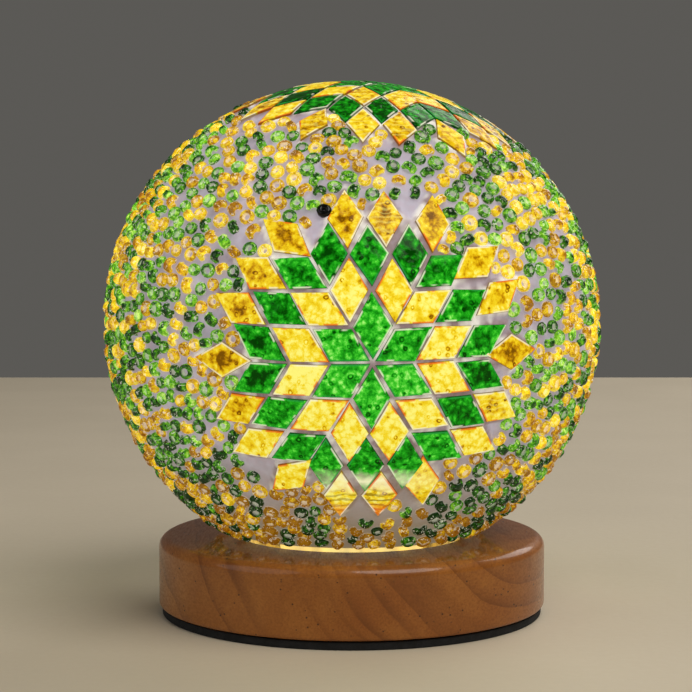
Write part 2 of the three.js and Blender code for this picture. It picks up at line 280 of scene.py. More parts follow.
# Hammered sheet glass lit from behind. Cells and noises are sized in millimetres.
# Light = start + weights x (broad patches, fine grain, spots, thin rings),
# Height = hollows + weight x ripples, Streak = level bands.
def makeHammeredGlass():
    h = hammered
    group, enter, leave = newGroup(
        "hammered_glass", [("Place", "NodeSocketVector", None)], ["Light", "Height", "Streak"])
    place = enter["Place"]
    bend = addNode(group, "ShaderNodeTexNoise", {"Vector": place, "Scale": h["bendScale"]})
    offset = vectorCalc(group, "SUBTRACT", first=bend.outputs["Color"], second=(0.5, 0.5, 0.5))[0]
    offset = vectorCalc(group, "SCALE", first=offset, Scale=h["bendDepth"])[0]
    bent = vectorCalc(group, "ADD", first=place, second=offset)[0]
    cell = cells(group, bent, h["ringCell"])
    away = calc(group, "SUBTRACT", cell.outputs["Distance"], h["ringRadius"])
    ring = spread(group, calc(group, "ABSOLUTE", away), 0.0, h["ringWidth"], 1.0, 0.0)
    chosen = spread(group, firstPart(group, cell.outputs["Color"]), *h["ringShare"])
    ring = times(group, ring, chosen)
    spots = cells(group, bent, h["spotCell"], "SMOOTH_F1", h["spotSoftness"]).outputs["Distance"]
    light = weigh(group, h["start"],
                  (noise(group, bent, h["broad"], 3.0, 0.6), h["broadWeight"]),
                  (noise(group, bent, h["fine"], 2.0, 0.7), h["fineWeight"]),
                  (spots, h["spotWeight"]), (ring, h["ringWeight"]))
    hollow = cells(group, place, h["hollow"], "SMOOTH_F1", h["hollowSoftness"]).outputs["Distance"]
    height = weigh(group, hollow, (noise(group, place, h["ripple"], 2.0), h["rippleWeight"]))
    group.links.new(light, leave["Light"])
    group.links.new(height, leave["Height"])
    streak = waves(group, bent, h["streakScale"], h["streakBend"], Detail_Scale=h["streakDetail"])
    group.links.new(streak, leave["Streak"])
    return group


beadLook = {
    "patch": 1.3, "start": -1.28, "patchWeight": 2.0, "litWeight": 0.5, "tintWeight": 0.55,
    "holeShadeWeight": -0.4, "footShadeWeight": -0.2, "outside": (0.07, 0.24), "crown": (0.84, 0.97),
    "foot": (0.12, 0.42), "outline": (0.04, 0.16, 0.7), "deep": (0.7, 0.95, 0.75),
    "spark": 0.7, "sparkCut": (0.62, 0.7),
}


# Glass beads lit from behind. Light = start + weights x (patches, lamp light, tint, the painted
# shade of the hole seen through a bead on its side, painted shade at its foot). Spark = the most of
# painted highlights: sparks, a pale outline at the foot and a pale glow deep in the hole.
def makeBeadGlass():
    b = beadLook
    group, enter, leave = newGroup("bead_glass", [
        ("Place", "NodeSocketVector", None), ("Tint", "NodeSocketFloat", 0.5),
        ("Hole", "NodeSocketFloat", 0.0), ("Crown", "NodeSocketFloat", 0.5),
        ("Lit", "NodeSocketFloat", 1.0), ("Rise", "NodeSocketFloat", 0.5)], ["Light", "Spark"])
    outside = spread(group, enter["Hole"], *b["outside"], 1.0, 0.0)
    # painted shade: the hole seen through a bead on its side is darker
    holeShade = times(group, outside, spread(group, enter["Crown"], *b["crown"]))
    # the last term is painted shade at a bead's foot, where it meets the grout
    light = weigh(group, b["start"],
                  (noise(group, enter["Place"], b["patch"], 2.0, 0.6, 0.8), b["patchWeight"]),
                  (enter["Lit"], b["litWeight"]), (enter["Tint"], b["tintWeight"]),
                  (holeShade, b["holeShadeWeight"]),
                  (spread(group, enter["Rise"], *b["foot"], 1.0, 0.0), b["footShadeWeight"]))
    # painted highlights: a pale outline at the foot, a pale glow deep in the hole, and sparks
    outline = spread(group, enter["Rise"], *b["outline"], 0.0)
    holeLow, holeHigh, holeMost = b["deep"]
    deep = spread(group, enter["Hole"], holeLow, holeHigh, 0.0, holeMost)
    spark = spread(group, noise(group, enter["Place"], b["spark"], 1.0, 0.5, 1.0), *b["sparkCut"])
    spark = calc(group, "MAXIMUM", spark, calc(group, "MAXIMUM", outline, deep))
    group.links.new(light, leave["Light"])
    group.links.new(spark, leave["Spark"])
    return group


# Fine unevenness of moulded, painted and rubbed surfaces: Mottle is slow, Grain is fine.
def makeFineGrain():
    group, enter, leave = newGroup("fine_grain", [
        ("Place", "NodeSocketVector", None), ("Slow", "NodeSocketFloat", 250.0),
        ("Fast", "NodeSocketFloat", 2600.0)], ["Mottle", "Grain"])
    for label, size, detail in (("Mottle", "Slow", 3.0), ("Grain", "Fast", 2.0)):
        inputs = {"Vector": enter["Place"], "Scale": enter[size], "Detail": detail}
        made = addNode(group, "ShaderNodeTexNoise", inputs)
        group.links.new(made.outputs["Fac"], leave[label])
    return group


hammeredGlass = makeHammeredGlass()
beadGlass = makeBeadGlass()
fineGrain = makeFineGrain()

tileColors = {
    "amber": [(0.0, tone(120, 78, 2)), (0.25, tone(194, 138, 4)), (0.5, tone(232, 192, 20)),
              (0.72, tone(246, 218, 42)), (1.0, tone(255, 246, 124))],
    "green": [(0.0, tone(3, 60, 2)), (0.25, tone(10, 112, 8)), (0.5, tone(30, 164, 24)),
              (0.72, tone(72, 208, 48)), (1.0, tone(170, 248, 120))],
}
tileLift = {"amber": -0.13, "green": -0.4}
tileLine = {"amber": tone(92, 50, 14), "green": tone(6, 44, 14)}
tileFringe = {"amber": tone(236, 104, 34), "green": tone(40, 150, 60)}
hotGlow = {"low": 39.4, "high": 42.2, "fade": 1.5, "wander": 4.0, "wanderDepth": 5.0,
           "under": 2.0, "red": (33.5, 35.5), "tone": tone(255, 252, 204)}
tileLook = {
    "shadeWeight": 0.6, "core": (1.3, 2.6), "corePatch": 2.4, "coreWeight": 2.2,
    "streak": (0.55, 0.95), "streakMix": 0.3, "band": (0.45, 0.8), "bandScale": 240.0,
    "bandBend": 5.0, "bandMix": 0.6, "hotMix": 0.95, "redMix": 0.7, "sides": 5.0,
    "edge": (0.3, 0.55), "fringe": (0.54, 0.58), "fringeMix": 0.85, "pale": (0.44, 0.48),
    "highlightMix": 0.7, "line": (0.05, 0.16), "lineMix": 0.8, "highlightTone": tone(244, 240, 214),
    "dimmed": 0.6, "bumpStrength": 0.5, "bumpDepth": 0.3,
}


# Tile glass: light = pattern + lift + weight x tile shade - dark core. Over it come streaks, a hot
# glow low in a star with lines and red under it, a coloured fringe, a pale painted highlight along
# the edge and a dark outline.
def makeTileGlass(kind):
    t, h = tileLook, hotGlow
    material, tree, shader = newMaterial(
        f"{kind}_tile_glass", Roughness=0.12, IOR=1.5, Coat_Weight=0.05, Coat_Roughness=0.05,
        Specular_IOR_Level=0.05, Emission_Strength=0.8)
    place = objectPlace(tree)
    glass = useGroup(tree, hammeredGlass, Place=place)
    rim = attribute(tree, "rim")
    uneven = weigh(tree, -t["coreWeight"] / 2, (rim, 1.0),
                   (noise(tree, place, t["corePatch"], 2.0), t["coreWeight"]))
    core = times(tree, spread(tree, uneven, *t["core"]), attribute(tree, "core"))
    light = weigh(tree, tileLift[kind], (glass["Light"], 1.0),
                  (attribute(tree, "shade"), t["shadeWeight"]), (core, -1.0))
    color = ramp(tree, light, tileColors[kind])
    streak = spread(tree, glass["Streak"], *t["streak"])
    streak = times(tree, streak, attribute(tree, "striped"))
    brightest = tileColors[kind][-1][1]
    color = mixColor(tree, times(tree, streak, t["streakMix"]), color, brightest)
    height = heightOf(tree, place)
    wavy = weigh(tree, -h["wanderDepth"] / 2 * mm, (height, 1.0),
                 (noise(tree, place, h["wander"], 2.0), h["wanderDepth"] * mm))
    low, high, fade = (h[key] * mm for key in ("low", "high", "fade"))
    hot = times(tree, spread(tree, wavy, low - fade, low + fade),
               spread(tree, wavy, high - fade, high + fade, 1.0, 0.0))
    hot = times(tree, hot, attribute(tree, "hot"))
    bands = waves(tree, place, t["bandScale"], t["bandBend"])
    under = times(tree, spread(tree, wavy, low - h["under"] * mm, low, 1.0, 0.0),
                 attribute(tree, "hot"))
    striped = times(tree, spread(tree, bands, *t["band"]), under)
    red = times(tree, heightFade(tree, height, h["red"], t["redMix"]), under)
    color = mixColor(tree, times(tree, striped, t["bandMix"]), color, tileLine[kind])
    color = mixColor(tree, red, color, tileFringe[kind])
    color = mixColor(tree, times(tree, hot, t["hotMix"]), color, h["tone"])
    sides = noise(tree, place, t["sides"], 1.0)
    edge = spread(tree, rim, *t["edge"], 1.0, 0.0)
    fringe = times(tree, edge, spread(tree, sides, *t["fringe"], 0.0, t["fringeMix"]))
    # a pale painted highlight along the tile's edge
    pale = times(tree, edge, spread(tree, sides, *t["pale"], t["highlightMix"], 0.0))
    line = spread(tree, rim, *t["line"], t["lineMix"], 0.0)
    color = mixColor(tree, fringe, color, tileFringe[kind])
    color = mixColor(tree, pale, color, t["highlightTone"])
    color = mixColor(tree, line, color, tileLine[kind])
    base = mixColor(tree, t["dimmed"], color, black)
    normal = bump(tree, glass["Height"], t["bumpStrength"], t["bumpDepth"])
    feed(tree, shader, Base_Color=base, Emission_Color=color, Normal=normal)
    return material


beadColors = {
    "amber": [(0.0, tone(140, 90, 2)), (0.28, tone(200, 152, 6)), (0.5, tone(226, 192, 12)),
              (0.76, tone(244, 220, 34)), (1.0, tone(255, 244, 110))],
    "green": [(0.0, tone(3, 30, 2)), (0.26, tone(18, 74, 4)), (0.5, tone(62, 140, 10)),
              (0.76, tone(124, 196, 30)), (1.0, tone(210, 246, 110))],
    "black": [(0.0, tone(4, 5, 5)), (0.5, tone(12, 14, 14)), (1.0, tone(40, 46, 44))],
}
# the pale tone of the painted highlights on the beads
sparkTone = tone(252, 250, 226)


# Bead glass: a colour by its light, with painted highlights (pale sparks and outlines) mixed in.
def makeBeadMaterial(kind, glow, sparkShare, clear=0.55):
    material, tree, shader = newMaterial(
        f"{kind}_bead_glass", Roughness=0.06, IOR=1.45, Emission_Strength=glow,
        Transmission_Weight=clear, Specular_IOR_Level=0.3)
    place = objectPlace(tree)
    glass = useGroup(tree, beadGlass, Place=place, Tint=attribute(tree, "tint"),
                     Hole=attribute(tree, "hole"), Crown=attribute(tree, "crown"),
                     Lit=attribute(tree, "lit"), Rise=attribute(tree, "rise"))
    color = ramp(tree, glass["Light"], beadColors[kind])
    spark = times(tree, glass["Spark"], sparkShare)
    color = mixColor(tree, spark, color, sparkTone)
    normal = bump(tree, noise(tree, place, 1.1, 1.0), 0.2, 0.3)
    feed(tree, shader, Base_Color=color, Emission_Color=color, Normal=normal)
    return material


groutColors = {
    "field": (tone(154, 146, 156), tone(198, 191, 206)),
    "joint": (tone(138, 116, 112), tone(250, 246, 232)),
    # painted shade low down
    "low": tone(144, 128, 86), "lowShadeHeight": (26.0, 52.0),
    # a painted golden glint of the lamp at the grout's lower edge
    "edge": tone(226, 184, 70), "glintHeight": (20.6, 22.0),
    "mottle": tone(186, 160, 172),
}


# Grout: lilac grey between beads; between tiles it turns from mauve to nearly white. Painted shade
# makes it darker low down, and a painted golden glint of the lamp lies along its lower edge.
def makeGroutMaterial():
    material, tree, shader = newMaterial("backlit_grout", Roughness=0.7, Emission_Strength=0.55)
    place = objectPlace(tree)
    patch = spread(tree, noise(tree, place, 9.0, 3.0, 0.6), 0.3, 0.7)
    field = mixColor(tree, patch, *groutColors["field"])
    slow = spread(tree, noise(tree, place, 6.5, 2.0, 0.6), 0.44, 0.6)
    between = mixColor(tree, slow, *groutColors["joint"])
    color = mixColor(tree, attribute(tree, "joint"), field, between)
    grain = useGroup(tree, fineGrain, Place=place, Slow=700.0, Fast=3200.0)
    mottle = spread(tree, grain["Mottle"], 0.35, 0.7, 0.0, 0.35)
    color = mixColor(tree, mottle, color, groutColors["mottle"])
    height = heightOf(tree, place)
    # painted shade: darker low down
    low = heightFade(tree, height, groutColors["lowShadeHeight"], 0.8)
    color = mixColor(tree, low, color, groutColors["low"])
    # painted golden glint of the lamp along the lower edge
    golden = heightFade(tree, height, groutColors["glintHeight"], 0.5)
    color = mixColor(tree, golden, color, groutColors["edge"])
    base = mixColor(tree, 0.35, color, black)
    normal = bump(tree, grain["Mottle"], 0.35, 0.25)
    feed(tree, shader, Base_Color=base, Emission_Color=color, Normal=normal)
    return material


clearLook = {"tint": tone(250, 252, 246), "glow": tone(240, 190, 70), "glowHeight": (20.2, 22.0),
             "streak": (0.42, 0.6), "streakScale": 7.0, "roughness": (0.01, 0.05)}


# Clear glass with a golden light caught in its rim: fade with height x streaks by angle round Z.
def makeClearGlass():
    c = clearLook
    material, tree, shader = newMaterial(
        "clear_globe_glass", Base_Color=c["tint"], IOR=1.5, Transmission_Weight=1.0,
        Emission_Strength=0.3)
    place = objectPlace(tree)
    parts = addNode(tree, "ShaderNodeSeparateXYZ", {0: place}).outputs
    turn = calc(tree, "ARCTAN2", parts[0], parts[1])
    around = addNode(tree, "ShaderNodeCombineXYZ", {0: turn, 1: 0.0, 2: 0.0}).outputs[0]
    inputs = {"Vector": around, "Scale": c["streakScale"], "Detail": 4.0}
    streak = addNode(tree, "ShaderNodeTexNoise", inputs).outputs["Fac"]
    low = heightFade(tree, parts[2], c["glowHeight"], 1.0)
    caught = times(tree, low, spread(tree, streak, *c["streak"], 0.08, 1.0))
    color = mixColor(tree, caught, black, c["glow"])
    roughness = spread(tree, noise(tree, place, 20.0, 2.0), 0.3, 0.7, *c["roughness"])
    feed(tree, shader, Emission_Color=color, Roughness=roughness)
    return material


wood = {
    "ringMiddle": (57.0, 0.0, 46.0), "ringWidth": 8.6, "lean": (0.05, 0.10, -0.06), "along": 0.06,
    "pale": tone(174, 110, 44), "mid": tone(150, 86, 28), "dark": tone(100, 50, 12),
    "poreTone": tone(48, 26, 16), "swayScale": 26.0, "swayDepth": 0.011, "uneven": 2.4,
    "late": (0.5, 0.94), "lateEnd": (0.95, 1.0), "lateMix": 0.6, "strongSize": 24.0,
    "fibre": 0.5, "fibreStretch": 0.12, "fibreMix": 0.38, "cloud": 16.0,
    "pore": 1.5, "poreStretch": 0.3, "poreSize": (0.1, 0.19), "clump": (0.48, 0.56),
    "poreShare": (0.15, 0.2), "poreMix": 0.85,
}


def stretched(tree, place, share):
    # place with its Y scaled, so that what is drawn there is long in Y
    inputs = {"Vector": place, "Scale": (1.0, share, 1.0)}
    return addNode(tree, "ShaderNodeMapping", inputs).outputs[0]


# Varnished wood: a growth ring is the fraction of (distance from a line along Y / ring width +
# noise), darker towards its end, with fine fibres and pores over it.
def makeWood():
    w = wood
    material, tree, shader = newMaterial(
        "varnished_wood", Coat_Weight=0.5, Coat_Roughness=0.08, Coat_IOR=1.5,
        Specular_IOR_Level=0.2)
    place = objectPlace(tree)
    middle = tuple(-c * mm for c in w["ringMiddle"])
    moved = addNode(tree, "ShaderNodeMapping",
                    {"Vector": place, "Location": middle, "Rotation": w["lean"]}).outputs[0]
    inputs = {"Vector": moved, "Scale": w["swayScale"], "Detail": 2.0}
    sway = addNode(tree, "ShaderNodeTexNoise", inputs)
    sway = vectorCalc(tree, "SCALE", first=sway.outputs["Color"], Scale=w["swayDepth"])[0]
    moved = vectorCalc(tree, "ADD", first=moved, second=sway)[0]
    flat = vectorCalc(tree, "MULTIPLY", first=moved, second=(1.0, w["along"], 1.0))[0]
    reach = vectorCalc(tree, "LENGTH", first=flat)["Value"]
    turns = calc(tree, "DIVIDE", reach, w["ringWidth"] * mm)
    uneven = addNode(tree, "ShaderNodeTexNoise", {"W": turns, "Scale": 0.9, "Detail": 1.0},
                     noise_dimensions="1D").outputs["Fac"]
    band = calc(tree, "FRACT", weigh(tree, turns, (uneven, w["uneven"])))
    late = spread(tree, band, *w["late"])
    late = times(tree, late, spread(tree, band, *w["lateEnd"], 1.0, 0.0))
    strong = spread(tree, noise(tree, place, w["strongSize"], 1.0), 0.35, 0.65, 0.25, 1.0)
    late = times(tree, late, strong)
    fibre = noise(tree, stretched(tree, place, w["fibreStretch"]), w["fibre"], 3.0, 0.6)
    cloud = noise(tree, place, w["cloud"], 3.0, 0.55)
    color = mixColor(tree, spread(tree, cloud, 0.3, 0.7), w["pale"], w["mid"])
    color = mixColor(tree, times(tree, late, w["lateMix"]), color, w["dark"])
    color = mixColor(tree, spread(tree, fibre, 0.38, 0.66, 0.0, w["fibreMix"]), color, w["dark"])
    pore = cells(tree, stretched(tree, place, w["poreStretch"]), w["pore"])
    deep = spread(tree, pore.outputs["Distance"], *w["poreSize"], 1.0, 0.0)
    clump = spread(tree, noise(tree, place, 7.0, 2.0), *w["clump"])
    picked = spread(tree, firstPart(tree, pore.outputs["Color"]), *w["poreShare"])
    deep = times(tree, times(tree, deep, clump), picked)
    color = mixColor(tree, times(tree, deep, w["poreMix"]), color, w["poreTone"])
    roughness = spread(tree, fibre, 0.3, 0.7, 0.34, 0.5)
    height = weigh(tree, times(tree, fibre, 0.2), (deep, -1.0))
    feed(tree, shader, Base_Color=color, Roughness=roughness, Normal=bump(tree, height, 0.25, 0.12))
    return material


# Plain finishes: a base colour and a second one in patches, with fine bump.
def makeGrained(name, first, second, slow=250.0, fast=2600.0, rough=(0.4, 0.6), depth=0.05,
                **plain):
    material, tree, shader = newMaterial(name, **plain)
    grain = useGroup(tree, fineGrain, Place=objectPlace(tree), Slow=slow, Fast=fast)
    color = mixColor(tree, spread(tree, grain["Mottle"], 0.4, 0.6), first, second)
    roughness = spread(tree, grain["Grain"], 0.3, 0.7, *rough)
    normal = bump(tree, grain["Grain"], 0.4, depth)
    feed(tree, shader, Base_Color=color, Roughness=roughness, Normal=normal)
    if "Emission_Strength" in plain:
        feed(tree, shader, Emission_Color=color)
    return material


materials = {
    "amberTile": makeTileGlass("amber"),
    "greenTile": makeTileGlass("green"),
    "amberBead": makeBeadMaterial("amber", 0.42, 0.7),
    "greenBead": makeBeadMaterial("green", 0.48, 0.55),
    "blackBead": makeBeadMaterial("black", 0.0, 0.0, 0.0),
    "grout": makeGroutMaterial(),
    "clearGlass": makeClearGlass(),
    "wood": makeWood(),
    "foam": makeGrained("black_foam", tone(12, 13, 14), tone(24, 25, 27), 500.0, 3000.0,
                        rough=(0.85, 1.0), depth=0.25),
    "rubber": makeGrained("seal_rubber", tone(30, 30, 31), tone(46, 46, 47), rough=(0.6, 0.8)),
    "plastic": makeGrained("black_plastic", tone(22, 22, 23), tone(32, 32, 34), rough=(0.35, 0.55)),
    "steel": makeGrained("screw_steel", tone(186, 188, 192), tone(150, 152, 156), 900.0, 4000.0,
                         rough=(0.22, 0.4), Metallic=1.0),
    "board": makeGrained("white_board", tone(232, 232, 226), tone(214, 215, 208),
                         rough=(0.35, 0.5)),
    "wire": makeGrained("wire_cover", tone(178, 24, 20), tone(150, 18, 16), rough=(0.35, 0.5)),
    "phosphor": makeGrained("led_phosphor", tone(255, 214, 92), tone(250, 196, 60), 1500.0,
                            Emission_Strength=3.0),
    "frosted": makeGrained("frosted_dome", tone(255, 226, 150), tone(250, 214, 128), 120.0, 1800.0,
                           rough=(0.5, 0.7), Emission_Strength=0.75),
}
print("materials ready")


# Quads of a grid: point (i, j) is number i x columns + j, and columns close on themselves.
def gridFaces(rows, columns, wrapRows=False):
    i = np.arange(rows if wrapRows else rows - 1)[:, None]
    j = np.arange(columns)[None, :]
    below, beside = (i + 1) % rows, (j + 1) % columns
    corners = (i * columns + j, i * columns + beside, below * columns + beside, below * columns + j)
    return np.stack(np.broadcast_arrays(*corners), -1).reshape(-1, 4)


# Fans from the two poles that follow a grid's points, to its first ring and to its last.
def poleFaces(count, columns):
    here = np.arange(columns)
    beside = (here + 1) % columns
    last = count - columns
    firstFan = [np.full(columns, count), beside, here]
    lastFan = [np.full(columns, count + 1), last + here, last + beside]
    return np.concatenate([np.stack(firstFan, -1), np.stack(lastFan, -1)])


# A sixth of the sum of a . (b x c) over all triangles: above zero when they point outwards.
def volumeOf(points, quads, triangles):
    sets = [triangles] if len(triangles) else []
    if len(quads):
        sets += [quads[:, [0, 1, 2]], quads[:, [0, 2, 3]]]
    faces = np.concatenate(sets)
    a, b, c = (points[faces[:, k]] for k in range(3))
    return np.einsum("ij,ij->", a, np.cross(b, c)) / 6


# Makes a mesh of points and faces, rides it on its body and hides the CAD nodes it stands for.
def addPiece(name, shape, material, body, stands=(), sharp=40.0, values=None):
    points = np.asarray(shape[0], float).reshape(-1, 3)
    quads = np.asarray(shape[1], int).reshape(-1, 4)
    triangles = np.asarray(shape[2], int).reshape(-1, 3)
    if volumeOf(points, quads, triangles) < 0:
        quads, triangles = quads[:, ::-1], triangles[:, ::-1]
    mesh = bpy.data.meshes.new(name)
    mesh.from_pydata((points * mm).tolist(), [], quads.tolist() + triangles.tolist())
    for key, numbers in (values or {}).items():
        made = mesh.attributes.new(key, "FLOAT", "POINT")
        made.data.foreach_set("value", np.asarray(numbers, np.float32).ravel())
    mesh.shade_smooth()
    if sharp:
        mesh.set_sharp_from_angle(angle=math.radians(sharp))
    mesh.materials.append(materials[material])
    piece = bpy.data.objects.new(name, mesh)
    bpy.context.scene.collection.objects.link(piece)
    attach(piece, body)
    if stands:
        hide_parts(*stands)
    return piece


# Part of an ellipse: (r + radiusR cos t, z + radiusZ sin t) for t from start to end degrees.
def arc(r, z, radiusR, radiusZ, start, end, steps):
    t = np.radians(np.linspace(start, end, steps + 1))
    return np.stack([r + radiusR * np.cos(t), z + radiusZ * np.sin(t)], -1)


# Angles of a turned shape's columns, all the way round.
def roundAngles(segments):
    return 2 * np.pi * np.arange(segments) / segments


# Turned shape: point (i, a) = (r_i cos a, r_i sin a, z_i). An open profile starts and ends on Z.
def turnedMesh(profile, segments, closed=False):
    profile = np.asarray(profile, float)
    angles = roundAngles(segments)
    rows = profile if closed else profile[1:-1]
    r, z = rows[:, :1], rows[:, 1:]
    points = np.stack(np.broadcast_arrays(r * np.cos(angles), r * np.sin(angles), z), -1)
    points = points.reshape(-1, 3)
    quads = gridFaces(len(rows), segments, closed)
    if closed:
        return points, quads, []
    poles = [[0, 0, profile[0][1]], [0, 0, profile[-1][1]]]
    return np.concatenate([points, poles]), quads, poleFaces(len(points), segments)


woodLow, woodHigh = boxOf("wood_base")
baseRadius = round(woodHigh[0], 3)
inletLow, inletHigh = boxOf("power_inlet")
inletHeight = (inletLow[2] + inletHigh[2]) / 2
turnedBase = {
    "topRound": 2.7, "footRound": 0.8, "footWidth": 4.0, "sideRings": 6, "sideGap": (3.0, 2.0),
    "topRing": 40.0, "seat": 28.9, "seatFloor": 16.0, "chamfer": 0.7, "pocket": 21.0,
    "pocketFloor": 11.5, "leadHole": 4.0, "bay": 33.0, "bayTop": 9.0, "rabbet": 38.0,
    "rabbetTop": 4.9, "inletHole": 2.9, "flangeHole": 4.3, "recess": 48.0, "segments": 180,
    "past": (2.0, 3.0),
}


# The base: one turned profile from the rabbet over the rounded rim, into the seat and the bay.
def makeBase():
    b = turnedBase
    top, low = woodHigh[2], woodLow[2]
    foot, edge = b["footRound"], b["topRound"]
    over, under = b["sideGap"]
    side = np.linspace(low + over, top - edge - under, b["sideRings"])
    profile = np.concatenate([
        [[b["rabbet"], low], [b["rabbet"] + b["footWidth"], low]],
        arc(baseRadius - foot, low + foot, foot, foot, -90, 0, 5),
        np.stack([np.full(len(side), baseRadius), side], -1),
        arc(baseRadius - edge, top - edge, edge, edge, 0, 90, 12),
        [[b["topRing"], top], [b["seat"] + b["chamfer"], top], [b["seat"], top - b["chamfer"]],
         [b["seat"], b["seatFloor"]], [b["pocket"], b["seatFloor"]],
         [b["pocket"], b["pocketFloor"]], [b["leadHole"], b["pocketFloor"]],
         [b["leadHole"], b["bayTop"]], [b["bay"], b["bayTop"]],
         [b["bay"], b["rabbetTop"]], [b["rabbet"], b["rabbetTop"]]],
    ])
    piece = addPiece("turned_wooden_base", turnedMesh(profile, b["segments"], True), "wood",
                     "base", ["wood_base"], 32.0)
    inside, outside = b["past"]
    cutHole(piece, b["inletHole"], b["bay"] - inside, baseRadius + inside)
    cutHole(piece, b["flangeHole"], b["recess"], baseRadius + outside)


# A shape turned about Z laid down along Y, at the inlet's height: (x, z, inlet height - y).
def layAlongY(profile, segments=48):
    points, quads, triangles = turnedMesh(profile, segments)
    points = np.stack([points[:, 0], points[:, 2], -points[:, 1] + inletHeight], -1)
    return points, quads, triangles


# A round hole along Y through the back of the base.
def cutHole(piece, radius, start, end):
    points, quads, triangles = layAlongY([[0, start], [radius, start], [radius, end], [0, end]])
    mesh = bpy.data.meshes.new("cutter")
    mesh.from_pydata((points * mm).tolist(), [], quads.tolist() + triangles.tolist())
    if volumeOf(points, quads, triangles) < 0:
        mesh.flip_normals()
    cutter = bpy.data.objects.new("cutter", mesh)
    bpy.context.scene.collection.objects.link(cutter)
    cut = piece.modifiers.new("hole", "BOOLEAN")
    cut.operation = "DIFFERENCE"
    cut.solver = "EXACT"
    cut.object = cutter
    evaluated = piece.evaluated_get(bpy.context.evaluated_depsgraph_get())
    finished = bpy.data.meshes.new_from_object(evaluated)
    piece.modifiers.clear()
    old, piece.data = piece.data, finished
    bpy.data.meshes.remove(old)
    bpy.data.objects.remove(cutter)


inletShape = {
    "body": 2.6, "flange": 4.0, "flangeThick": 1.0, "bore": 2.0, "depth": 9.0, "pin": 0.6,
    "pinBack": 1.5, "round": 0.2, "soft": 0.1, "cornerAcross": 0.06, "cornerBack": 0.08,
}


# The inlet, along Y: its body, a flange with softened edges, a bore and the pin in it.
def makeInlet():
    s = inletShape
    inner, face = inletLow[1], inletHigh[1]
    rounded, soft, across = s["round"], s["soft"], s["cornerAcross"]
    behind, corner = face - s["flangeThick"], face - s["cornerBack"]
    profile = [
        [0, inner], [s["body"] - rounded, inner], [s["body"], inner + rounded], [s["body"], behind],
        [s["flange"] - soft, behind], [s["flange"], behind + soft], [s["flange"], face - rounded],
        [s["flange"] - across, corner], [s["flange"] - rounded, face], [s["bore"] + rounded, face],
        [s["bore"] + across, corner], [s["bore"], face - rounded], [s["bore"], face - s["depth"]],
        [s["pin"], face - s["depth"]], [s["pin"], face - s["pinBack"] - rounded],
        [s["pin"] - rounded, face - s["pinBack"]], [0, face - s["pinBack"]]]
    addPiece("round_power_inlet", layAlongY(profile), "plastic", "base",
             ["power_inlet"])


padShape = {"soft": 0.35, "inner": 30.0, "segments": 180}


# The pad: a flat disc with both its edges rounded.
def makePad():
    low, high = boxOf("foot_pad")
    bottom, top = low[2], high[2]
    soft, inner = padShape["soft"], padShape["inner"]
    reach = high[0] - soft
    profile = np.concatenate([
        [[0, bottom], [inner, bottom]], arc(reach, bottom + soft, soft, soft, -90, 0, 4),
        arc(reach, top - soft, soft, soft, 0, 90, 4), [[inner, top], [0, top]]])
    addPiece("foam_foot_pad", turnedMesh(profile, padShape["segments"]), "foam", "base",
             ["foot_pad"])


domeShape = {
    "flange": 20.4, "flangeHeight": 1.2, "flangeSoft": 0.2, "radius": 18.9, "wall": 1.3,
    "shoulder": 17.0, "innerDrop": 0.4, "fillet": 0.3, "segments": 96,
}


# The dome: a quarter ellipse inside, a flat flange and a quarter ellipse outside, turned about Z.
def makeDome():
    s = domeShape
    low, high = boxOf("light_dome")
    bottom, top = low[2], high[2]
    inner, innerShoulder = s["radius"] - s["wall"], s["shoulder"] - s["innerDrop"]
    ledge = bottom + s["flangeHeight"]
    soft, fillet = s["flangeSoft"], s["fillet"]
    profile = np.concatenate([
        arc(0, innerShoulder, inner, top - s["wall"] - innerShoulder, 90, 0, 20),
        [[inner, bottom], [s["flange"], bottom], [s["flange"], ledge - soft],
         [s["flange"] - soft, ledge], [s["radius"] + fillet, ledge], [s["radius"], ledge + fillet]],
        arc(0, s["shoulder"], s["radius"], top - s["shoulder"], 0, 90, 20)])
    profile[[0, -1], 0] = 0
    addPiece("frosted_light_dome", turnedMesh(profile, s["segments"]), "frosted",
             "base", ["light_dome"])


makeBase()
makeInlet()
makePad()
makeDome()

cadFinishes = {
    "bottom_cover": "plastic", "cover_screw_": "steel", "board_screw_": "steel",
    "driver_board": "board", "led_board": "board", "led_wire_": "wire", "inlet_wire_": "wire",
    "led_chip_": "phosphor", "seat_gasket": "rubber",
}
for nodeName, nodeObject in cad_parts.items():
    for start, finish in cadFinishes.items():
        if nodeName.startswith(start):
            nodeObject.data.materials.clear()
            nodeObject.data.materials.append(materials[finish])
print("base ready")

globe = {"middle": 75.0, "press": 0.974, "glass": 61.0, "wall": 2.2, "neck": 28.2, "neckWall": 2.3,
         "lip": 0.5, "steps": 90, "segments": 180}
wholeTurn = 6.28  # radians, for random phases


# Heights above the globe's middle are pressed, and all are then counted from the floor.
def pressed(z):
    return np.where(z > 0, z * globe["press"], z) + globe["middle"]


# A direction to a point on the globe: way x radius, with its height pressed.
def onGlobe(ways, radius):
    points = ways * np.asarray(radius)
    return np.concatenate([points[..., :2], pressed(points[..., 2])[..., None]], -1)


# Profile of a sphere from its top down to where its distance from Z is edge.
def sphereArc(radius, edge, steps):
    t = np.linspace(0, math.pi - math.asin(edge / radius), steps + 1)
    return np.stack([radius * np.sin(t), radius * np.cos(t)], -1)


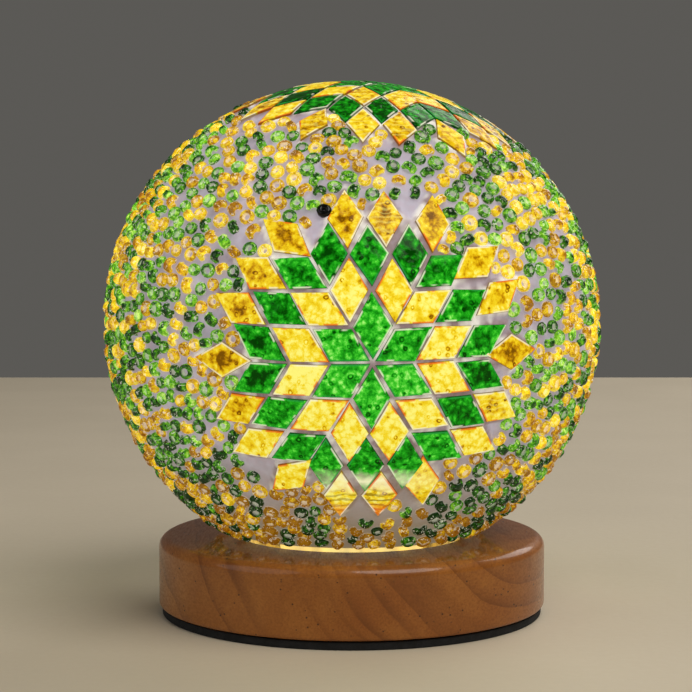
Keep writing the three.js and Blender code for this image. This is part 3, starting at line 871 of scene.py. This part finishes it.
# The glass: an outer sphere, a rounded lip at the foot of its neck and an inner sphere.
def makeGlassGlobe():
    g = globe
    rim = boxOf("globe_glass")[0][2] - g["middle"]
    neckInner = g["neck"] - g["neckWall"]
    lip = arc((g["neck"] + neckInner) / 2, rim + g["lip"], g["neckWall"] / 2, g["lip"], 0, -180, 8)
    profile = np.concatenate([
        sphereArc(g["glass"], g["neck"], g["steps"]), lip,
        sphereArc(g["glass"] - g["wall"], neckInner, g["steps"])[::-1]])
    profile[[0, -1], 0] = 0
    profile[:, 1] = pressed(profile[:, 1])
    addPiece("clear_glass_globe", turnedMesh(profile, g["segments"]), "clearGlass",
             "globe", ["globe_glass"], 50.0)


makeGlassGlobe()

tile = {
    "low": 61.95, "high": 63.5, "bevel": 0.3, "soft": 0.1, "softDrop": 0.07,
    "topRings": (1.1, 2.2, 3.2), "poleRim": 4.0, "innerShare": 0.9, "joint": 0.5, "surface": 62.2,
    "perEdge": 6, "waveAcross": 1.3, "waveUp": 1.5, "waveHeight": 0.09, "tilt": 0.012,
}
stars = [
    {"name": "front", "azimuth": 4.3, "latitude": -5.2, "turn": 0.4, "pitch": 9.35},
    {"name": "right", "azimuth": 131.0, "latitude": -4.0, "turn": 3.0, "pitch": 9.3},
    {"name": "left", "azimuth": -123.5, "latitude": -6.0, "turn": -2.0, "pitch": 9.3},
    {"name": "top", "azimuth": 37.5, "latitude": 79.8, "turn": -35.0, "pitch": 8.87},
]
rowKinds = ["green", "amber", "green", "amber"]
# The spread of the hand's errors, in shares of a tile's size, degrees and millimetres.
handError = {"size": 0.012, "turn": 1.1, "shift": 0.12, "corner": 0.1, "singleShift": 0.5,
             "singleTurn": 3.0}
# Tiles laid one by one: their shift in millimetres and their turn in degrees.
laidByEye = {("front", 0): (-2.1, -1.9, 19.0), ("front", -1): (-2.9, 1.5, 25.0),
             ("front", -2): (-2.0, 0.6, 0.0), ("front", -3): (-5.2, 0.6, -25.0),
             ("front", -4): (-1.1, 2.0, -13.0), ("front", -5): (1.1, -0.5, 0.0)}
movedTiles = {("front", -1, 1, 2): (0.0, 2.2, 3.0), ("front", -1, 2, 1): (0.3, 1.9, 3.0)}
# A star's rows drift as they are laid: dx = widen x + bend y^2, dy = taller y |y|, where bend is
# another one above the star's middle than below it.
drift = {"front": {"widen": 0.012, "bendUp": -0.0009, "bendDown": -0.0021, "taller": 0.0015}}


# A step of length 1 in the pattern's plane.
def unit(degrees):
    return np.array([math.cos(math.radians(degrees)), math.sin(math.radians(degrees))])


# From the middle of a tile's rhombus to its nearest side.
def innerRadius(star):
    return star["pitch"] * math.sin(math.radians(60)) / 2


# Three axes at a place on the globe: out of it, across to the right, and up along it.
def starFrame(star):
    a, l = math.radians(star["azimuth"]), math.radians(star["latitude"])
    out = np.array([math.cos(l) * math.sin(a), -math.cos(l) * math.cos(a), math.sin(l)])
    across = np.array([math.cos(a), math.sin(a), 0.0])
    return out, across, np.cross(out, across)


# Flat pattern point to a direction on the globe, keeping its distance from the star's middle.
def directionOf(star, flat):
    out, across, up = starFrame(star)
    t = math.radians(star["turn"])
    x = flat[..., 0] * math.cos(t) - flat[..., 1] * math.sin(t)
    y = flat[..., 0] * math.sin(t) + flat[..., 1] * math.cos(t)
    reach = np.maximum(np.hypot(x, y), 1e-9)
    slope = (reach / tile["surface"])[..., None]
    tangent = (x / reach)[..., None] * across + (y / reach)[..., None] * up
    return np.cos(slope) * out + np.sin(slope) * tangent


# Corners of every tile of a row, (tiles, 4, 2): inner point, right side, outer point, left side.
# Tile (k, i, j) of row i + j starts at i right + j left, for the k-th of six sectors.
def rowTiles(star, row):
    pitch, found, names = star["pitch"], [], []
    for k in range(0, -6, -1):
        middle = 90 + 60 * k
        left, right = unit(middle + 30) * pitch, unit(middle - 30) * pitch
        first, last = (0, row) if row < 3 else (1, 2)
        for i in range(first, last + 1):
            j = row - i
            inner = i * right + j * left
            found.append([inner, inner + right, inner + right + left, inner + left])
            names.append(("tile", k, i, j))
        if row == 3:
            stem = 3 * left
            tip = stem + math.sqrt(3) * unit(middle + 30) * pitch
            found.append([stem, stem + unit(middle) * pitch, tip, stem + unit(middle + 60) * pitch])
            names.append(("single", k))
    return np.array(found), names


# Laid corners = middle + shift + turned spoke x size + corner error. Each tile is shrunk by half a
# joint and is a little off by hand, and some are also shifted and turned one by one.
def layTiles(star, row):
    corners, names = rowTiles(star, row)
    count = len(corners)
    middles = corners.mean(1, keepdims=True)
    spokes = corners - middles
    error = handError
    size = 1 - tile["joint"] / 2 / innerRadius(star)
    size = size + random.normal(0, error["size"], (count, 1, 1))
    turn = np.radians(random.normal(0, error["turn"], count))
    shift = random.normal(0, error["shift"], (count, 1, 2))
    d = drift.get(star["name"])
    for n, name in enumerate(names):
        dx, dy, more = 0.0, 0.0, 0.0
        if name[0] == "single":
            loose = random.normal(0, error["singleShift"], 2)
            loose = (*loose, random.normal(0, error["singleTurn"]))
            dx, dy, more = laidByEye.get((star["name"], name[1]), loose)
        elif d:
            x, y = middles[n, 0]
            bend = d["bendUp"] if y > 0 else d["bendDown"]
            shift[n, 0] += (d["widen"] * x + bend * y ** 2, d["taller"] * y * abs(y))
            dx, dy, more = movedTiles.get((star["name"], *name[1:]), (dx, dy, more))
        shift[n, 0] += (dx, dy)
        turn[n] += math.radians(more)
    c, s = np.cos(turn)[:, None], np.sin(turn)[:, None]
    x, y = spokes[..., 0], spokes[..., 1]
    spun = np.stack([x * c - y * s, x * s + y * c], -1)
    laid = middles + shift + spun * size + random.normal(0, error["corner"], (count, 4, 2))
    return laid, names


# A tile is rings round its outline, from its back over the bevel to its top middle. A ring's scale
# is 1 - inset / share of the inner radius. Its radius is height + away . tilt, + a wave on the top.
def tileMesh(star, corners):
    m, bevel, high = tile["perEdge"], tile["bevel"], tile["high"]
    count, around = len(corners), 4 * m
    t = (np.arange(m) / m)[None, None, :, None]
    outline = corners[:, :, None, :] * (1 - t) + np.roll(corners, -1, 1)[:, :, None, :] * t
    outline = outline.reshape(count, around, 2)
    middles = corners.mean(1, keepdims=True)
    inset = np.array([0.0, 0.0, tile["soft"], bevel, *tile["topRings"]])
    height = np.full(len(inset), high)
    height[:3] = tile["low"], high - bevel, high - tile["softDrop"]
    scale = (1 - inset / (innerRadius(star) * tile["innerShare"]))[None, :, None, None]
    flat = middles[:, None] + (outline - middles)[:, None] * scale
    phase = random.uniform(0, wholeTurn, (count, 1, 1, 3))
    wave = np.sin(flat[..., 0] * tile["waveAcross"] + phase[..., 0])
    wave = wave * np.sin(flat[..., 1] * tile["waveUp"] + phase[..., 1])
    top = (inset >= bevel)[None, :, None]
    radius = height[None, :, None] + np.where(top, tile["waveHeight"] * wave, 0.0)
    tilt = random.normal(0, tile["tilt"], (count, 1, 1, 2))
    radius = radius + ((flat - middles[:, None]) * tilt).sum(-1)
    points = onGlobe(directionOf(star, flat), radius[..., None])
    poles = onGlobe(directionOf(star, np.stack([middles[:, 0], middles[:, 0]], 1)),
                    np.array([tile["low"], high])[None, :, None])
    each = len(inset) * around
    step = (np.arange(count) * (each + 2))[:, None, None]
    merged = np.concatenate([points.reshape(count, each, 3), poles], 1)
    rim = np.concatenate([np.repeat(inset, around), [tile["poleRim"]] * 2])
    shape = (merged, gridFaces(len(inset), around) + step, poleFaces(each, around) + step)
    return shape, rim


tileShade = {
    "middle": 1.02, "perReach": -0.009, "error": 0.1, "outerReach": 20.0, "outerLowest": -14.0,
    "core": (0.15, 0.5), "outer": 0.14, "topGreen": 0.54, "topAmber": 0.38, "single": 0.12,
    "topStriped": 0.5, "outerStriped": 0.35, "hotBelow": 47.0, "hotMost": 1.4, "hotWidth": 11.0,
}


# Each tile's painted light and shade: shade falls with its distance from the star's middle, outer
# tiles have a dark core and some are striped, and hot = most - |x| / width for the lowest ones, a
# painted glow of the lamp.
def tileValues(star, row, corners, names, heights):
    t = tileShade
    count, middles = len(corners), corners.mean(1)
    isTop, isAmber = star["name"] == "top", row % 2 == 1
    reach = np.linalg.norm(middles, axis=1)
    shade = t["middle"] + t["perReach"] * reach + random.normal(0, t["error"], count)
    outermost = (reach > t["outerReach"]) & (middles[:, 1] > t["outerLowest"])
    core = np.where(outermost, random.uniform(*t["core"], count), 0.0)
    shade -= t["outer"] * outermost
    if isTop:
        shade -= t["topAmber"] if isAmber else t["topGreen"]
    shade -= t["single"] * np.array([name[0] == "single" for name in names])
    often = (t["topStriped"] if isTop else t["outerStriped"] * outermost) if isAmber else 0.0
    striped = (random.uniform(0, 1, count) < often).astype(float)
    hot = np.clip(t["hotMost"] - np.abs(middles[:, 0]) / t["hotWidth"], 0, 1)
    hot = hot * (heights < t["hotBelow"])
    return {"shade": shade, "striped": striped, "hot": hot, "core": core}


placedTiles = []
for star in stars:
    for row, kind in enumerate(rowKinds):
        corners, names = layTiles(star, row)
        shape, rim = tileMesh(star, corners)
        values = tileValues(star, row, corners, names, shape[0][..., 2].mean(1))
        values = {key: np.repeat(numbers, len(rim)) for key, numbers in values.items()}
        values["rim"] = np.tile(rim, len(corners))
        addPiece(f"{star['name']}_star_{kind}_ring_{row + 1}", shape, f"{kind}Tile",
                 "globe", [f"star_{star['name']}_row_{row + 1}"], 30.0, values)
        placedTiles.append(directionOf(star, corners))
placedTiles = np.concatenate(placedTiles)
print("tiles ready", len(placedTiles))


# Directions at length 1, and how long they were.
def lengthOne(ways):
    length = np.linalg.norm(ways, axis=1)
    return ways / length[:, None], length


# Each tile as a rhombus on the globe: its middle, and its long and short half diagonals.
tileMiddles, _ = lengthOne(placedTiles.mean(1))
longWays, longHalf = lengthOne((placedTiles[:, 2] - placedTiles[:, 0]) / 2)
shortWays, shortHalf = lengthOne((placedTiles[:, 1] - placedTiles[:, 3]) / 2)
longHalf *= tile["high"]
shortHalf *= tile["high"]


# How far outside each tile a place is: (|x| / a + |y| / b - 1) x the distance to a side.
def tileDistance(ways):
    x = np.abs(ways @ longWays.T) * tile["high"]
    y = np.abs(ways @ shortWays.T) * tile["high"]
    inner = longHalf * shortHalf / np.hypot(longHalf, shortHalf)
    away = (x / longHalf + y / shortHalf - 1) * inner
    return np.where(ways @ tileMiddles.T > 0.5, away, 99.0)  # 99 for tiles far round the globe


groutSkin = {
    "inner": 61.3, "field": 62.2, "joint": 62.95, "edge": 31.5, "around": 360, "down": 170,
    "inside": 40, "climb": (0.3, 1.3), "lumps": 9, "lumpSize": 16.0, "lumpHeight": 0.16,
}


# Directions down from the top of the globe and round it, (rows, columns, 3).
def wayGrid(downs, angles):
    downs = downs[:, None]
    ways = (np.sin(downs) * np.cos(angles), np.sin(downs) * np.sin(angles), np.cos(downs))
    return np.stack(np.broadcast_arrays(*ways), -1)


# Grout: radius = field + (joint - field) x nearness to a tile + lumps, and a smooth inner wall.
def makeGrout():
    g = groutSkin
    last = math.pi - math.asin(g["edge"] / g["field"])
    angles = roundAngles(g["around"])
    ways = wayGrid(np.linspace(0, last, g["down"] + 1)[1:], angles)
    parts = np.array_split(ways, 12)  # a part at a time, to save memory
    away = np.concatenate([tileDistance(part.reshape(-1, 3)).min(1) for part in parts])
    near, far = g["climb"]
    joint = np.clip((far - away.reshape(ways.shape[:2])) / (far - near), 0, 1)
    lumps = sum(np.sin(ways @ random.normal(0, g["lumpSize"], 3) + random.uniform(0, wholeTurn))
                for _ in range(g["lumps"])) / g["lumps"]
    radius = g["field"] + (g["joint"] - g["field"]) * joint
    radius += g["lumpHeight"] * lumps * (1 - 0.5 * joint)
    radius[-1] = g["field"]  # an even lower edge
    outer = onGlobe(ways, radius[..., None]).reshape(-1, 3)
    inner = onGlobe(wayGrid(np.linspace(last, 0, g["inside"] + 1)[:-1], angles), g["inner"])
    inner = inner.reshape(-1, 3)
    top = np.array([[0, 0, 1.0]])
    points = [outer, inner, onGlobe(top, g["joint"]), onGlobe(top, g["inner"])]
    values = np.concatenate([joint.ravel(), np.zeros(len(inner)), [1.0, 0.0]])
    quads = gridFaces(g["down"] + g["inside"], g["around"])
    fans = poleFaces(len(outer) + len(inner), g["around"])
    addPiece("grout_skin", (np.concatenate(points), quads, fans), "grout", "globe",
             ["grout_layer"], 0, {"joint": values})


makeGrout()
print("grout ready")

beads = {
    "count": 1840, "radius": 1.87, "spreadRadius": 0.16, "radii": (1.5, 2.25), "tries": 4,
    "startGap": 1.2, "rounds": 110, "settled": 0.7, "wide": 1.3, "close": 0.93, "push": 0.28,
    "edgeShare": 0.93, "edgeRoom": 0.05, "edgePush": 0.5, "keptShare": 0.75, "surface": 62.7,
    "lowest": 35.0, "around": 12, "section": 6, "flatShare": 0.6, "flatLean": 8.0,
    "sideLean": (82.0, 93.0), "length": (0.56, 0.72), "flatHole": (0.26, 0.36), "sideHole": 0.2,
    "blackHole": 0.12, "square": 0.8, "squash": (0.9, 1.0), "top": 63.65, "proud": 0.4,
    "depthError": 0.14, "depths": (-0.35, 0.2), "litHeights": (23, 34, 54, 100, 130),
    "litLevels": (0.0, 0.35, 0.95, 1.0, 0.8), "amberShare": 0.5,
}
blackSpot = {"azimuth": -6.7, "latitude": 28.0}


# Pushes for beads that are too near a tile: share of the lack x the way out of |x| / a + |y| / b.
def pushOffTiles(ways, radius):
    lack = (radius[:, None] * beads["edgeShare"] + beads["edgeRoom"]) - tileDistance(ways)
    rows, tiles = np.nonzero(lack > 0)
    places = ways[rows] * beads["surface"]
    normal = 0
    for axes, half in ((longWays, longHalf), (shortWays, shortHalf)):
        along = np.einsum("ij,ij->i", places, axes[tiles])
        normal = normal + (np.sign(along) / half[tiles])[:, None] * axes[tiles]
    normal /= np.linalg.norm(normal, axis=1, keepdims=True)
    return rows, normal * (lack[rows, tiles] * beads["edgePush"] / beads["surface"])[:, None]


# Random places, spread by pushing near ones apart and off the tiles, and kept above the foot.
def scatterBeads():
    b = beads
    ways = random.normal(size=(b["count"] * b["tries"], 3))
    ways /= np.linalg.norm(ways, axis=1, keepdims=True)
    lowestZ = -math.cos(math.asin(b["lowest"] / b["surface"]))
    clear = (tileDistance(ways).min(1) > b["startGap"]) & (ways[:, 2] > lowestZ)
    ways = ways[clear][:b["count"]]
    radius = np.clip(random.normal(b["radius"], b["spreadRadius"], len(ways)), *b["radii"])
    for turn in range(b["rounds"]):
        room = np.interp(turn, [0, b["rounds"] * b["settled"]], [b["wide"], b["close"]])
        gapAngle = (radius[:, None] + radius[None, :]) * room / b["surface"]
        near = ways @ ways.T > np.cos(gapAngle)
        np.fill_diagonal(near, False)
        one, other = np.nonzero(near)
        apart = ways[one] - ways[other]
        distance = np.linalg.norm(apart, axis=1) + 1e-9
        push = np.maximum((gapAngle[one, other] - distance) * b["push"], 0)
        move = np.zeros_like(ways)
        np.add.at(move, one, apart / distance[:, None] * push[:, None])
        np.add.at(move, *pushOffTiles(ways, radius))
        ways = ways + move
        ways /= np.linalg.norm(ways, axis=1, keepdims=True)
        low = ways[:, 2] < lowestZ
        flat = np.linalg.norm(ways[low, :2], axis=1, keepdims=True)
        ways[low, :2] *= math.sqrt(1 - lowestZ ** 2) / flat
        ways[low, 2] = lowestZ
    kept = tileDistance(ways).min(1) > b["keptShare"] * radius
    return ways[kept], radius[kept]


# A power of each number that keeps its sign: it squares the round section off.
def squared(numbers):
    return np.sign(numbers) * np.abs(numbers) ** beads["square"]


# A bead is a rounded section carried round a ring: (middle + half wall x cos s) from its axis and
# half length x sin s along it. Its centre is set so that its top comes to about the same height as
# the others', and higher for a bead on its side.
def beadMesh(ways, radius, black=False):
    b = beads
    count, n, m = len(ways), b["around"], b["section"]
    up = np.tile([0.0, 0.0, 1.0], (count, 1))
    up[np.abs(ways[:, 2]) > 0.9] = (1.0, 0.0, 0.0)
    side = np.cross(up, ways)
    side /= np.linalg.norm(side, axis=1, keepdims=True)
    fore = np.cross(ways, side)
    lie = random.uniform(0, 2 * np.pi, count)[:, None]
    isFlat = random.uniform(0, 1, count) < b["flatShare"]
    lean = np.where(isFlat, np.abs(random.normal(0, b["flatLean"], count)),
                    random.uniform(*b["sideLean"], count))
    lean = np.radians(np.zeros(count) if black else lean)[:, None]
    heading = np.cos(lie) * side + np.sin(lie) * fore
    axis = np.cos(lean) * ways + np.sin(lean) * heading
    first = np.cross(heading, ways)
    second = np.cross(axis, first)
    halfLength = radius * random.uniform(*b["length"], count)
    hole = b["blackHole"]
    if not black:
        hole = np.where(isFlat, random.uniform(*b["flatHole"], count), b["sideHole"])
    hole = radius * hole
    middle, wall = (radius + hole) / 2, (radius - hole) / 2
    s = 2 * np.pi * (np.arange(m) + 0.5) / m
    t = roundAngles(n)
    bend, rise = squared(np.cos(s)), squared(np.sin(s))
    fromAxis = (middle[:, None] + wall[:, None] * bend)[:, :, None]
    squash = random.uniform(*b["squash"], count)[:, None, None]
    x, y = fromAxis * np.cos(t), fromAxis * np.sin(t) * squash
    z = np.broadcast_to((halfLength[:, None] * rise)[:, :, None], x.shape)
    offsets = sum(part[..., None] * way[:, None, None]
                  for part, way in ((x, first), (y, second), (z, axis)))
    outward = np.einsum("nijk,nk->nij", offsets, ways)
    top = outward.max((1, 2))
    sink = b["top"] - top + np.clip(random.normal(0, b["depthError"], count), *b["depths"])
    sink = sink + (0.0 if black else np.where(isFlat, 0.0, b["proud"]))
    points = (ways * sink[:, None])[:, None, None] + offsets
    reach = np.linalg.norm(points, axis=-1, keepdims=True)
    points = onGlobe(points / reach, reach)
    field = groutSkin["field"]
    values = {
        "crown": outward / top[:, None, None] * 0.5 + 0.5,
        "hole": np.broadcast_to((0.5 - 0.5 * bend)[None, :, None], x.shape),
        "tint": np.broadcast_to(random.uniform(0, 1, count)[:, None, None], x.shape),
        "lit": np.interp(points[..., 2], b["litHeights"], b["litLevels"]),
        "rise": (reach[..., 0] - field) / (b["top"] - field),
    }
    step = (np.arange(count) * n * m)[:, None, None]
    return (points, gridFaces(m, n, True) + step, []), values


beadWays, beadRadii = scatterBeads()
blackWay = starFrame(blackSpot)[0]
nearest = int(np.argmax(beadWays @ blackWay))
beadWays[nearest] = blackWay
isBlack = np.arange(len(beadWays)) == nearest
isAmber = (random.uniform(0, 1, len(beadWays)) < beads["amberShare"]) & ~isBlack
for name, chosen, finish, slot, stands in (
        ("amber_ring_beads", isAmber, "amberBead", "amber_glass", ["bead_layer"]),
        ("green_ring_beads", ~isAmber & ~isBlack, "greenBead", "green_glass", []),
        ("black_ring_bead", isBlack, "blackBead", "black_plastic", [])):
    shape, values = beadMesh(beadWays[chosen], beadRadii[chosen], chosen is isBlack)
    addPiece(name, shape, finish, "globe", stands, 0, values)
print("beads ready", len(beadWays))

floorLow = cadBox[0][2] / mm
side, front, back = floorSize["side"], floorSize["front"], floorSize["back"]
floorPoints = np.array([[-side, front, floorLow], [side, front, floorLow], [side, back, floorLow],
                        [-side, back, floorLow]])
floorMesh = bpy.data.meshes.new("studio_floor")
floorMesh.from_pydata((floorPoints * mm).tolist(), [], [[0, 1, 2, 3]])
floorMesh.materials.append(makeGrained("studio_floor", tone(205, 193, 171), tone(202, 190, 168),
                                       14.0, 420.0, rough=(0.6, 0.75), depth=0.15))
floor = bpy.data.objects.new("studio_floor", floorMesh)
bpy.context.scene.collection.objects.link(floor)
